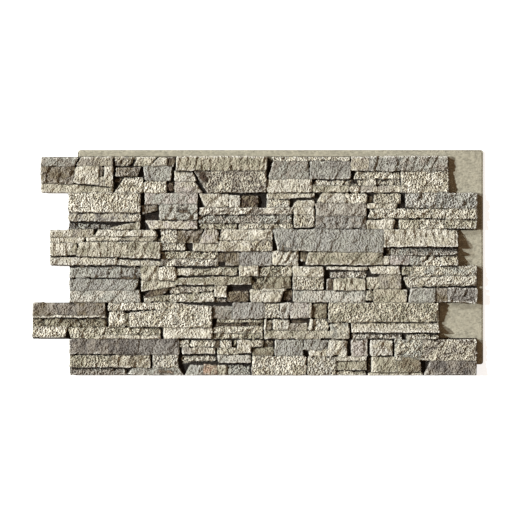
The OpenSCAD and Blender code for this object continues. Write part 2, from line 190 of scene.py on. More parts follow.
TOP_COURSE = (
    Stone(-78, 22, 73, 96, 9, Face.SMOOTH, Tone.TAUPE, (high_right(3), low_right(-10)), Tone.GREY),
    Stone(-78, 16, 27, 72, 8, Face.FACETED, Tone.TAUPE, (low_right(-4, -2),), Tone.BROWN),
    Stone(-78, 118, 1, 29, 9, Face.SMOOTH, Tone.BEIGE, (high_right(0, -13),)),
    Stone(24, 117, 73, 98, 7, Face.SMOOTH, Tone.SAND, (high_left(7), low_left(-5))),
    Stone(14, 80, 22, 72, 3, Face.SMOOTH, Tone.CREAM, (high_left(6), low_left(-3, 5))),
    Stone(95, 118, 18, 72, 3, Face.SMOOTH, Tone.CREAM),
    Stone(80, 96, 19, 44, 4, Face.SMOOTH, Tone.CREAM),
    Stone(80, 92, 46, 71, 9, Face.DOMED, Tone.TAUPE),
    Stone(124, 168, 73, 98, 8, Face.ROUGH, Tone.SAND, (high_right(4), low_right(-4))),
    Stone(179, 228, 73, 98, 9, Face.SMOOTH, Tone.BEIGE, (high_left(4), low_left(-4), high_right(10), low_right(-10))),
    Stone(230, 264, 73, 95, 6, Face.SMOOTH, Tone.CREAM, (high_left(12), low_left(-10))),
    Stone(125, 190, 45, 69, 8, Face.PITTED, Tone.TAUPE, (high_right(3), low_right(-6))),
    Stone(122, 148, 29, 43, 19, Face.DOMED, Tone.BROWN, (low_right(-8),)),
    Stone(150, 198, 1, 41, 6, Face.PITTED, Tone.CREAM, (low_left(-28), high_left(-2))),
    Stone(199, 277, 33, 72, 7, Face.SMOOTH, Tone.GREY, (low_left(4), low_right(-4)), Tone.BLUE),
    Stone(261, 287, 72, 97, 13, Face.SMOOTH, Tone.BROWN, (low_right(-6),)),
    Stone(200, 262, 1, 31, 6, Face.PITTED, Tone.CREAM, (high_left(4),)),
    Stone(263, 281, 5, 29, 13, Face.DOMED, Tone.BROWN),
    Stone(288, 533, 61, 99, 1, Face.FLUTED, Tone.SAND, (), Tone.OLIVE),
    Stone(284, 336, 32, 60, 9, Face.SMOOTH, Tone.ASH, (high_right(-4), low_right(9))),
    Stone(285, 346, 1, 30, 10, Face.SMOOTH, Tone.BEIGE, (high_right(-8), low_right(14)), Tone.PINK),
    Stone(352, 532, 1, 59, 1, Face.PITTED, Tone.BEIGE, (high_left(-14), low_left(20)), Tone.TAUPE),
    Stone(342, 370, 28, 58, 1, Face.DOMED, Tone.BROWN, (low_left(14), low_right(4))),
    Stone(549, 756, 85, 98, 9, Face.ROUGH, Tone.CREAM),
    Stone(538, 645, 38, 84, 8, Face.SMOOTH, Tone.GREY, (high_left(11), low_left(-1)), Tone.TAUPE),
    Stone(645, 759, 38, 85, 5, Face.SMOOTH, Tone.VIOLET, (high_left(5), low_left(3)), Tone.GREY),
    Stone(534, 654, 2, 36, 5, Face.SMOOTH, Tone.BEIGE, (), Tone.CREAM),
    Stone(663, 757, 20, 36, 9, Face.ROUGH, Tone.CREAM, (high_left(5), low_left(-8))),
    Stone(656, 754, 2, 20, 6, Face.SMOOTH, Tone.BEIGE),
    Stone(760, 808, 60, 99, 6, Face.SMOOTH, Tone.SAND, (), Tone.TAUPE),
    Stone(809, 893, 60, 99, 5, Face.FACETED, Tone.VIOLET, (), Tone.GREY),
    Stone(894, 1023, 60, 100, 4, Face.FACETED, Tone.GREY, (high_right(0, 0, -6), low_right(0, 0, -7)), Tone.TAUPE),
    Stone(771, 893, 38, 58, 8, Face.ROUGH, Tone.CREAM, (high_left(4), low_left(-4))),
    Stone(757, 792, 21, 36, 12, Face.ROUGH, Tone.BEIGE),
    Stone(793, 829, 20, 37, 9, Face.SMOOTH, Tone.CREAM),
    Stone(832, 894, 20, 36, 10, Face.ROUGH, Tone.BEIGE, (), Tone.TAUPE),
    Stone(756, 784, 2, 20, 6, Face.DOMED, Tone.CREAM),
    Stone(786, 894, 2, 19, 8, Face.SMOOTH, Tone.BEIGE, (), Tone.TAUPE),
    Stone(895, 1023, 1, 58, 3, Face.PITTED, Tone.CREAM, (high_right(0, 0, -4), low_right(0, 0, -5))),
)
SECOND_COURSE = (
    Stone(-3, 192, 46, 99, 2, Face.PITTED, Tone.CREAM),
    Stone(-3, 160, 22, 45, 6, Face.SMOOTH, Tone.BEIGE, (), Tone.VIOLET),
    Stone(159, 192, 22, 45, 5, Face.PITTED, Tone.CREAM),
    Stone(-2, 114, 2, 18, 9, Face.ROUGH, Tone.GREY, (high_right(0, -6),), Tone.SLATE),
    Stone(112, 191, 1, 21, 5, Face.SMOOTH, Tone.BEIGE, (high_left(3, -14), low_left(-2))),
    Stone(204, 346, 68, 98, 6, Face.SMOOTH, Tone.GREY, (), Tone.PINK),
    Stone(196, 239, 46, 66, 10, Face.SMOOTH, Tone.TAUPE, (low_left(0, -6), low_right(0, 6))),
    # Deep-set umber stone: a dark stone that paints shade into the gap below its neighbour.
    Stone(199, 237, 28, 44, 19, Face.SMOOTH, Tone.UMBER),
    Stone(244, 346, 27, 67, 5, Face.FACETED, Tone.GREY, (), Tone.ASH),
    Stone(290, 322, 31, 62, 3, Face.FACETED, Tone.BROWN, (high_right(10, 0, -3), low_right(-6, 0, -3))),
    Stone(210, 346, 2, 24, 6, Face.SMOOTH, Tone.BEIGE, (high_left(-6), low_left(8)), Tone.PINK),
    Stone(357, 430, 62, 96, 8, Face.SMOOTH, Tone.CREAM, (high_left(-7), low_left(9))),
    Stone(433, 461, 60, 93, 5, Face.SMOOTH, Tone.CREAM, (), Tone.ASH),
    Stone(459, 510, 58, 92, 11, Face.DOMED, Tone.BROWN),
    Stone(349, 606, 41, 59, 4, Face.LAYERED, Tone.CREAM, (), Tone.TAUPE),
    Stone(349, 600, 18, 38, 9, Face.ROUGH, Tone.GREY, (), Tone.TAUPE),
    Stone(353, 452, 2, 15, 9, Face.ROUGH, Tone.BEIGE),
    Stone(457, 603, 2, 15, 7, Face.ROUGH, Tone.CREAM),
    Stone(533, 662, 83, 98, 7, Face.SMOOTH, Tone.CREAM, (low_right(0, 3),), Tone.SAND),
    Stone(533, 594, 60, 81, 7, Face.PITTED, Tone.ASH),
    Stone(606, 661, 60, 78, 10, Face.SMOOTH, Tone.CREAM, (high_left(10), low_left(-6))),
    Stone(606, 661, 41, 59, 6, Face.SMOOTH, Tone.CREAM),
    Stone(606, 661, 5, 39, 3, Face.PITTED, Tone.CREAM),
    Stone(676, 741, 72, 97, 8, Face.SMOOTH, Tone.SAND, (high_left(6), low_left(-8)), Tone.ASH),
    Stone(743, 803, 72, 97, 7, Face.PITTED, Tone.CREAM),
    Stone(665, 801, 36, 70, 6, Face.SMOOTH, Tone.TAUPE, (), Tone.ASH),
    Stone(664, 801, 3, 36, 6, Face.FACETED, Tone.BLUE, (), Tone.TAUPE),
    Stone(804, 821, 72, 94, 16, Face.DOMED, Tone.BROWN),
    Stone(822, 894, 71, 97, 8, Face.PITTED, Tone.SAND, (), Tone.BEIGE),
    Stone(804, 886, 57, 70, 10, Face.SMOOTH, Tone.CREAM, (low_right(-6),)),
    # Deep-set umber stone: a dark stone that paints shade into the gap.
    Stone(886, 904, 50, 64, 19, Face.SMOOTH, Tone.UMBER),
    Stone(801, 1013, 31, 56, 3, Face.ROUGH, Tone.CREAM, (high_left(12), low_left(4))),
    Stone(804, 876, 2, 27, 8, Face.SMOOTH, Tone.CREAM, (high_right(5),)),
    Stone(877, 889, 4, 26, 17, Face.SMOOTH, Tone.BROWN),
    Stone(890, 944, 2, 27, 8, Face.PITTED, Tone.BEIGE),
    Stone(946, 1013, 2, 28, 6, Face.ROUGH, Tone.CREAM),
    Stone(897, 994, 59, 99, 3, Face.ROUGH, Tone.BLUE, (high_left(10), low_left(12)), Tone.ASH),
    Stone(994, 1100, 58, 99, 2, Face.ROUGH, Tone.GREY, (), Tone.BLUE),
    Stone(1014, 1100, 29, 56, 4, Face.PITTED, Tone.CREAM),
    Stone(1014, 1100, 3, 27, 6, Face.PITTED, Tone.BEIGE),
)
THIRD_COURSE = (
    Stone(-53, 11, 79, 98, 6, Face.SMOOTH, Tone.CREAM, (high_right(4), low_right(-4))),
    Stone(12, 66, 79, 98, 8, Face.SMOOTH, Tone.SAND, (high_left(6), low_left(-5))),
    Stone(-53, 44, 63, 78, 9, Face.SMOOTH, Tone.CREAM, (low_right(-8),)),
    Stone(72, 230, 81, 98, 7, Face.SMOOTH, Tone.CREAM, (high_left(6), low_left(-4), low_right(8))),
    Stone(46, 160, 68, 79, 10, Face.SMOOTH, Tone.CREAM),
    Stone(160, 234, 68, 80, 11, Face.SMOOTH, Tone.SAND),
    Stone(233, 251, 63, 77, 15, Face.DOMED, Tone.BROWN),
    Stone(-53, 4, 28, 62, 3, Face.FLUTED, Tone.CREAM, (high_right(8), low_right(-8))),
    Stone(-4, 20, 30, 60, 4, Face.SMOOTH, Tone.SAND, (high_left(14), low_left(-2)), Tone.OLIVE),
    Stone(20, 246, 27, 65, 1, Face.FLUTED, Tone.BEIGE, (high_left(6), low_right(0, -7))),
    Stone(-53, 130, 3, 25, 7, Face.SMOOTH, Tone.ASH, (high_right(0, -4),)),
    Stone(130, 193, 2, 18, 9, Face.SMOOTH, Tone.ASH, (high_right(0, -2),)),
    Stone(194, 247, 1, 15, 9, Face.SMOOTH, Tone.ASH),
    Stone(247, 291, 62, 98, 8, Face.PITTED, Tone.ASH),
    Stone(290, 356, 62, 96, 11, Face.FACETED, Tone.BROWN, (high_right(10), low_right(-8)), Tone.TAUPE),
    Stone(358, 402, 62, 98, 7, Face.SMOOTH, Tone.SAND, (high_left(8), low_left(-8)), Tone.PINK),
    Stone(247, 312, 42, 60, 9, Face.PITTED, Tone.ASH),
    Stone(334, 402, 40, 61, 6, Face.FLUTED, Tone.BEIGE),
    Stone(247, 401, 20, 38, 7, Face.ROUGH, Tone.BEIGE),
    Stone(247, 402, 1, 19, 8, Face.ROUGH, Tone.CREAM, (), Tone.TAUPE),
    Stone(404, 482, 70, 98, 8, Face.SMOOTH, Tone.CREAM, (high_left(6),)),
    Stone(484, 548, 70, 98, 7, Face.SMOOTH, Tone.CREAM, (), Tone.SAND),
    Stone(403, 491, 40, 67, 5, Face.SMOOTH, Tone.CREAM),
    Stone(493, 548, 41, 69, 6, Face.PITTED, Tone.SAND),
    Stone(402, 426, 9, 37, 13, Face.DOMED, Tone.BROWN),
    Stone(428, 461, 1, 37, 10, Face.SMOOTH, Tone.TAUPE, (high_left(-12), low_left(-4))),
    Stone(461, 546, 1, 38, 7, Face.SMOOTH, Tone.VIOLET, (), Tone.BLUE),
    Stone(560, 847, 42, 98, 3, Face.SMOOTH, Tone.GREY, (high_left(-10), low_left(2), low_right(0, -5)), Tone.BLUE),
    Stone(566, 620, 46, 70, 2, Face.FACETED, Tone.BLUE),
    Stone(548, 618, 2, 42, 6, Face.FACETED, Tone.ASH),
    Stone(624, 650, 12, 38, 13, Face.SMOOTH, Tone.BROWN, (low_right(-10),)),
    Stone(638, 846, 3, 37, 4, Face.SMOOTH, Tone.SAND, (high_left(8),), Tone.OLIVE),
    Stone(849, 1048, 52, 98, 2, Face.FLUTED, Tone.CREAM, (high_right(0, 0, -10), low_right(0, 0, 14))),
    Stone(850, 868, 31, 50, 14, Face.ROUGH, Tone.BROWN),
    Stone(869, 1048, 30, 49, 8, Face.ROUGH, Tone.GREY, (high_right(0, 0, -4), low_right(0, 0, 14)), Tone.TAUPE),
    Stone(848, 863, 3, 28, 5, Face.SMOOTH, Tone.CREAM),
    Stone(865, 916, 3, 28, 8, Face.SMOOTH, Tone.PINK, (), Tone.VIOLET),
    Stone(917, 948, 2, 28, 7, Face.DOMED, Tone.GREY),
    Stone(949, 1001, 2, 29, 6, Face.ROUGH, Tone.ASH),
    Stone(1002, 1048, 2, 28, 4, Face.PITTED, Tone.CREAM, (high_right(0, 0, -6), low_right(0, 0, 14))),
)
FOURTH_COURSE = (
    Stone(1, 190, 67, 94, 8, Face.FACETED, Tone.GREY, (), Tone.BLUE),
    Stone(126, 188, 64, 78, 7, Face.SMOOTH, Tone.BROWN, (high_left(34, -3),)),
    Stone(28, 191, 90, 98, 10, Face.ROUGH, Tone.TAUPE),
    Stone(0, 184, 34, 63, 6, Face.SMOOTH, Tone.GREY, (high_right(4), low_right(-6)), Tone.BLUE),
    Stone(0, 192, 1, 33, 5, Face.SMOOTH, Tone.ASH, (high_right(-3),), Tone.GREY),
    Stone(194, 241, 61, 99, 6, Face.FACETED, Tone.BEIGE),
    Stone(242, 289, 60, 96, 4, Face.DOMED, Tone.CREAM),
    Stone(290, 333, 74, 92, 10, Face.SMOOTH, Tone.CREAM),
    Stone(334, 455, 74, 95, 8, Face.LAYERED, Tone.BEIGE, (high_left(0, -6),)),
    Stone(288, 492, 48, 71, 6, Face.SMOOTH, Tone.SAND, (high_left(0, -5), low_left(-4)), Tone.OLIVE),
    Stone(194, 287, 44, 59, 7, Face.SMOOTH, Tone.BEIGE, (low_left(0, -15),)),
    Stone(196, 274, 12, 46, 10, Face.SMOOTH, Tone.BROWN, (high_left(30, -6), low_left(0, -2), low_right(-14, 12))),
    Stone(262, 392, 30, 47, 8, Face.LAYERED, Tone.BEIGE, (low_left(10, -6), low_right(0, 2)), Tone.TAUPE),
    Stone(196, 392, 2, 28, 5, Face.LAYERED, Tone.CREAM, (high_left(2, -12), low_left(4)), Tone.OLIVE),
    Stone(392, 426, 14, 45, 4, Face.FACETED, Tone.CREAM),
    Stone(426, 484, 1, 31, 9, Face.DOMED, Tone.BROWN),
    Stone(394, 424, 1, 12, 12, Face.ROUGH, Tone.TAUPE),
    Stone(458, 509, 71, 99, 4, Face.SMOOTH, Tone.CREAM),
    Stone(494, 524, 36, 69, 11, Face.ROUGH, Tone.OLIVE),
    Stone(488, 521, 2, 34, 10, Face.SMOOTH, Tone.CREAM),
    Stone(510, 600, 71, 97, 7, Face.ROUGH, Tone.BEIGE, (), Tone.OLIVE),
    Stone(526, 598, 39, 69, 9, Face.FACETED, Tone.OLIVE),
    Stone(520, 585, 31, 38, 7, Face.SMOOTH, Tone.CREAM),
    Stone(520, 574, 2, 29, 5, Face.SMOOTH, Tone.CREAM, (high_right(4), low_right(-4))),
    Stone(578, 602, 4, 35, 14, Face.DOMED, Tone.BROWN),
    Stone(603, 686, 70, 97, 4, Face.SMOOTH, Tone.CREAM),
    Stone(603, 686, 35, 69, 2, Face.PITTED, Tone.CREAM),
    Stone(694, 806, 88, 96, 8, Face.SMOOTH, Tone.CREAM),
    Stone(699, 801, 67, 88, 9, Face.ROUGH, Tone.ASH, (high_left(2, -8), low_left(8)), Tone.TAUPE),
    Stone(694, 715, 33, 65, 8, Face.SMOOTH, Tone.BROWN, (high_right(-4), low_right(6))),
    Stone(713, 799, 33, 65, 4, Face.FLUTED, Tone.BEIGE),
    Stone(604, 799, 1, 32, 6, Face.SMOOTH, Tone.GREY, (), Tone.ASH),
    Stone(814, 893, 77, 97, 6, Face.SMOOTH, Tone.CREAM, (high_left(-6), low_left(2))),
    Stone(800, 837, 37, 68, 9, Face.SMOOTH, Tone.BEIGE, (high_left(4),)),
    Stone(838, 896, 37, 75, 7, Face.SMOOTH, Tone.SAND),
    Stone(801, 821, 3, 33, 7, Face.DOMED, Tone.BEIGE),
    Stone(822, 911, 1, 35, 6, Face.SMOOTH, Tone.SAND, (), Tone.OLIVE),
    Stone(898, 928, 73, 96, 7, Face.ROUGH, Tone.OLIVE),
    Stone(924, 1100, 72, 99, 5, Face.LAYERED, Tone.BEIGE, (low_left(-8, -8),), Tone.GREY),
    Stone(900, 1100, 41, 72, 3, Face.LAYERED, Tone.CREAM, (high_left(0, -4), low_left(10), low_right(0, 4))),
    Stone(916, 988, 1, 38, 3, Face.SMOOTH, Tone.GREY, (high_left(4),), Tone.VIOLET),
    Stone(988, 1020, 1, 38, 6, Face.SMOOTH, Tone.BROWN, (), Tone.TAUPE),
    Stone(1020, 1100, 1, 39, 3, Face.FACETED, Tone.VIOLET, (), Tone.SLATE),
)
FIFTH_COURSE = (
    Stone(-100, -33, 64, 98, 9, Face.SMOOTH, Tone.TAUPE, (high_right(-4), low_right(4))),
    Stone(-33, 16, 64, 98, 10, Face.SMOOTH, Tone.SLATE, (high_left(-4), low_left(4), high_right(-3), low_right(3))),
    Stone(16, 97, 64, 98, 9, Face.SMOOTH, Tone.BROWN, (high_left(-3), low_left(3)), Tone.TAUPE),
    Stone(-100, 98, 58, 63, 4, Face.SMOOTH, Tone.CREAM),
    Stone(-100, 98, 34, 57, 9, Face.ROUGH, Tone.OLIVE, (), Tone.BROWN),
    Stone(-100, -9, 4, 33, 6, Face.PITTED, Tone.CREAM, (high_right(3), low_right(-3))),
    Stone(-4, 246, 2, 32, 6, Face.ROUGH, Tone.BEIGE, (high_left(-3), low_left(8))),
    Stone(70, 246, 1, 10, 4, Face.SMOOTH, Tone.CREAM),
    Stone(105, 292, 76, 98, 5, Face.PITTED, Tone.CREAM, (low_right(0, 6),)),
    Stone(106, 150, 32, 74, 5, Face.ROUGH, Tone.CREAM),
    Stone(148, 162, 36, 70, 5, Face.ROUGH, Tone.OLIVE),
    Stone(162, 290, 32, 72, 2, Face.PITTED, Tone.CREAM, (high_right(0, 8),)),
    Stone(288, 384, 32, 92, 2, Face.PITTED, Tone.CREAM, (high_right(0, -4), high_left(0, 4))),
    Stone(254, 384, 2, 31, 5, Face.SMOOTH, Tone.BEIGE, (), Tone.CREAM),
    Stone(386, 441, 55, 88, 9, Face.SMOOTH, Tone.TAUPE, (), Tone.GREY),
    Stone(441, 524, 55, 97, 7, Face.SMOOTH, Tone.VIOLET, (), Tone.BLUE),
    Stone(397, 522, 45, 53, 9, Face.ROUGH, Tone.BEIGE),
    Stone(390, 522, 35, 44, 12, Face.ROUGH, Tone.BROWN),
    Stone(386, 522, 16, 33, 7, Face.ROUGH, Tone.CREAM),
    Stone(386, 522, 1, 15, 8, Face.ROUGH, Tone.BEIGE, (), Tone.OLIVE),
    Stone(526, 567, 56, 97, 8, Face.PITTED, Tone.ASH),
    Stone(569, 596, 56, 97, 6, Face.FACETED, Tone.BLUE, (high_right(2), low_right(-5))),
    Stone(596, 646, 56, 97, 6, Face.SMOOTH, Tone.PINK, (), Tone.ASH),
    Stone(646, 654, 57, 97, 4, Face.SMOOTH, Tone.CREAM),
    Stone(654, 695, 56, 96, 12, Face.SMOOTH, Tone.OLIVE, (), Tone.BROWN),
    Stone(526, 532, 24, 54, 6, Face.SMOOTH, Tone.CREAM),
    Stone(533, 547, 25, 50, 10, Face.SMOOTH, Tone.TAUPE),
    Stone(549, 596, 24, 53, 6, Face.DOMED, Tone.ASH),
    Stone(586, 643, 24, 42, 10, Face.SMOOTH, Tone.SAND, (high_left(12),)),
    # Deep-set umber stone: a dark stone that paints shade into the gap.
    Stone(600, 648, 43, 53, 18, Face.SMOOTH, Tone.UMBER),
    Stone(646, 656, 24, 54, 5, Face.SMOOTH, Tone.CREAM, (high_left(4),)),
    Stone(656, 702, 24, 53, 8, Face.ROUGH, Tone.ASH, (low_right(-3),)),
    Stone(526, 702, 1, 22, 6, Face.SMOOTH, Tone.BEIGE),
    Stone(700, 997, 45, 97, 2, Face.PITTED, Tone.BEIGE, (low_right(0, 2, -10), high_right(0, 0, 3))),
    Stone(704, 755, 1, 42, 5, Face.SMOOTH, Tone.BEIGE, (), Tone.GREY),
    Stone(761, 997, 18, 43, 6, Face.SMOOTH, Tone.CREAM, (high_right(0, 2, -10), low_right(0, 0, 16)), Tone.SAND),
    Stone(762, 898, 1, 15, 8, Face.ROUGH, Tone.ASH, (), Tone.TAUPE),
    Stone(911, 997, 1, 14, 8, Face.ROUGH, Tone.CREAM, (high_right(0, 0, 4), low_right(0, 0, 16))),
)
BOTTOM_COURSE = (
    Stone(0, 160, 58, 98, 7, Face.SMOOTH, Tone.SLATE, (), Tone.TAUPE),
    Stone(158, 296, 57, 98, 6, Face.SMOOTH, Tone.SLATE, (), Tone.VIOLET),
    Stone(0, 112, 22, 54, 6, Face.PITTED, Tone.BEIGE),
    Stone(110, 219, 22, 54, 6, Face.FACETED, Tone.BEIGE, (), Tone.BROWN),
    Stone(225, 294, 22, 55, 6, Face.PITTED, Tone.ASH),
    Stone(0, 156, 2, 19, 11, Face.ROUGH, Tone.GREY, (high_right(-6),)),
    Stone(160, 296, 2, 21, 6, Face.SMOOTH, Tone.GREY, (high_left(12), low_left(-4), low_right(14)), Tone.TAUPE),
    Stone(240, 285, 7, 16, 5, Face.SMOOTH, Tone.RUST),
    Stone(298, 324, 76, 96, 8, Face.ROUGH, Tone.CREAM),
    Stone(328, 392, 78, 95, 8, Face.ROUGH, Tone.CREAM),
    Stone(393, 407, 68, 94, 17, Face.SMOOTH, Tone.BROWN),
    Stone(408, 438, 77, 95, 8, Face.PITTED, Tone.CREAM),
    Stone(438, 454, 68, 94, 16, Face.SMOOTH, Tone.OLIVE, (high_left(8),)),
    Stone(454, 490, 60, 95, 6, Face.SMOOTH, Tone.CREAM),
    Stone(304, 394, 59, 75, 6, Face.SMOOTH, Tone.BEIGE, (), Tone.TAUPE),
    Stone(400, 456, 58, 75, 7, Face.PITTED, Tone.BEIGE),
    Stone(302, 396, 40, 52, 11, Face.ROUGH, Tone.CREAM),
    Stone(398, 489, 35, 55, 5, Face.SMOOTH, Tone.ASH, (high_left(2), low_left(4)), Tone.GREY),
    Stone(318, 360, 1, 28, 11, Face.SMOOTH, Tone.GREY, (high_left(8), low_left(-6)), Tone.BLUE),
    Stone(360, 400, 1, 28, 10, Face.FACETED, Tone.RUST, (), Tone.SAND),
    Stone(400, 424, 1, 27, 9, Face.SMOOTH, Tone.BEIGE),
    Stone(424, 490, 1, 27, 11, Face.ROUGH, Tone.GREY, (), Tone.SLATE),
    Stone(491, 524, 77, 95, 7, Face.DOMED, Tone.CREAM),
    Stone(526, 549, 77, 94, 14, Face.ROUGH, Tone.TAUPE),
    Stone(493, 551, 55, 75, 10, Face.SMOOTH, Tone.OLIVE),
    Stone(554, 630, 54, 96, 5, Face.SMOOTH, Tone.GREY, (), Tone.BLUE),
    Stone(631, 698, 68, 96, 9, Face.FACETED, Tone.VIOLET),
    Stone(648, 700, 53, 74, 6, Face.FACETED, Tone.CREAM),
    Stone(702, 748, 53, 95, 6, Face.FACETED, Tone.ASH, (low_left(-8),)),
    Stone(761, 804, 52, 97, 5, Face.FACETED, Tone.PINK, (), Tone.TAUPE),
    Stone(493, 639, 1, 52, 2, Face.PITTED, Tone.CREAM),
    Stone(643, 720, 1, 51, 5, Face.PITTED, Tone.ASH, (), Tone.SAND),
    Stone(720, 802, 40, 51, 4, Face.SMOOTH, Tone.CREAM),
    Stone(720, 802, 15, 37, 5, Face.SMOOTH, Tone.SAND, (), Tone.OLIVE),
    Stone(720, 802, 1, 13, 8, Face.LAYERED, Tone.BEIGE),
    Stone(806, 814, 13, 47, 18, Face.DOMED, Tone.BROWN),
    Stone(812, 872, 54, 95, 6, Face.FACETED, Tone.ASH, (), Tone.SAND),
    Stone(878, 950, 42, 97, 4, Face.ROUGH, Tone.BEIGE, (), Tone.GREY),
    Stone(948, 1100, 41, 97, 3, Face.LAYERED, Tone.BEIGE, (), Tone.TAUPE),
    Stone(815, 884, 9, 50, 5, Face.SMOOTH, Tone.BEIGE),
    Stone(882, 948, 9, 50, 6, Face.SMOOTH, Tone.OLIVE, (), Tone.BROWN),
    Stone(806, 953, 1, 8, 9, Face.SMOOTH, Tone.BEIGE),
    Stone(966, 1100, 1, 39, 7, Face.SMOOTH, Tone.SLATE, (high_left(8), low_left(-10), low_right(-3, 2))),
)
COURSES = (TOP_COURSE, SECOND_COURSE, THIRD_COURSE, FOURTH_COURSE, FIFTH_COURSE, BOTTOM_COURSE)


def linear_colour(hex_colour: str) -> tuple[float, float, float, float]:
    """Turns an sRGB hex colour to the linear colour that a socket takes.

    Args:
        hex_colour: Colour as #RRGGBB.

    Returns:
        Linear red, green, blue and an alpha of 1.
    """
    parts = [int(hex_colour[i : i + 2], 16) / 255 for i in (1, 3, 5)]
    linear = [c / 12.92 if c <= 0.04045 else ((c + 0.055) / 1.055) ** 2.4 for c in parts]
    return (*linear, 1.0)


def select_only(*objects: bpy.types.Object) -> None:
    """Selects these objects and no others, and makes the first one active.

    Args:
        objects: Objects to select.
    """
    bpy.ops.object.select_all(action="DESELECT")
    for thing in objects:
        thing.select_set(True)
    bpy.context.view_layer.objects.active = objects[0]


def add_block(name: str, low: Vector, high: Vector) -> bpy.types.Object:
    """Adds a cuboid between two corners, with its place in its mesh.

    Args:
        name: Name of the new object.
        low: Lowest corner in metres.
        high: Highest corner in metres.

    Returns:
        The new object, selected and active.
    """
    bpy.ops.object.select_all(action="DESELECT")
    bpy.ops.mesh.primitive_cube_add(size=1.0, location=(low + high) / 2, scale=high - low)
    bpy.ops.object.transform_apply(location=True, rotation=True, scale=True)
    block = bpy.context.object
    block.name = name
    return block


def select_parts(block: bpy.types.Object, kind: str, wanted: Callable) -> None:
    """Selects the vertices, edges or faces of the mesh in edit mode that pass a test.

    Args:
        block: Object in edit mode.
        kind: One of verts, edges and faces.
        wanted: Test that takes one of them.
    """
    bpy.ops.mesh.select_all(action="DESELECT")
    sketch = bmesh.from_edit_mesh(block.data)
    for part in getattr(sketch, kind):
        if wanted(part):
            part.select_set(True)
    sketch.select_flush(True)
    bmesh.update_edit_mesh(block.data)


def apply_modifier(block: bpy.types.Object, kind: str, **settings: object) -> None:
    """Adds a modifier with its settings and applies it.

    Args:
        block: Object to change, which becomes the active one.
        kind: Blender's name for the modifier.
        settings: Values of the modifier.
    """
    modifier = block.modifiers.new(kind.lower(), kind)
    for name, value in settings.items():
        setattr(modifier, name, value)
    select_only(block)
    bpy.ops.object.modifier_apply(modifier=modifier.name)


def join(name: str, blocks: list[bpy.types.Object]) -> bpy.types.Object:
    """Joins objects into one.

    Args:
        name: Name of the joined object.
        blocks: Objects to join.

    Returns:
        The joined object.
    """
    select_only(*blocks)
    if len(blocks) > 1:
        bpy.ops.object.join()
    blocks[0].name = name
    return blocks[0]


def read_points(mesh: bpy.types.Mesh) -> np.ndarray:
    """Reads the points of a mesh.

    Args:
        mesh: Mesh to read.

    Returns:
        One row of three coordinates for each vertex.
    """
    points = np.empty(len(mesh.vertices) * 3, np.float32)
    mesh.vertices.foreach_get("co", points)
    return points.reshape(-1, 3)


def write_points(mesh: bpy.types.Mesh, points: np.ndarray) -> None:
    """Moves the points of a mesh.

    Args:
        mesh: Mesh to change.
        points: One row of three coordinates for each vertex.
    """
    mesh.vertices.foreach_set("co", points.ravel())
    mesh.update()


def write_attribute(mesh: bpy.types.Mesh, name: str, kind: str, values: np.ndarray) -> None:
    """Writes one attribute of a mesh's points.

    Args:
        mesh: Mesh to write to.
        name: Name of the attribute.
        kind: Blender's name for its data.
        values: One value or colour for each point.
    """
    attribute = mesh.attributes.new(name, kind, "POINT")
    field = "color" if kind == "FLOAT_COLOR" else "value"
    attribute.data.foreach_set(field, values.ravel())


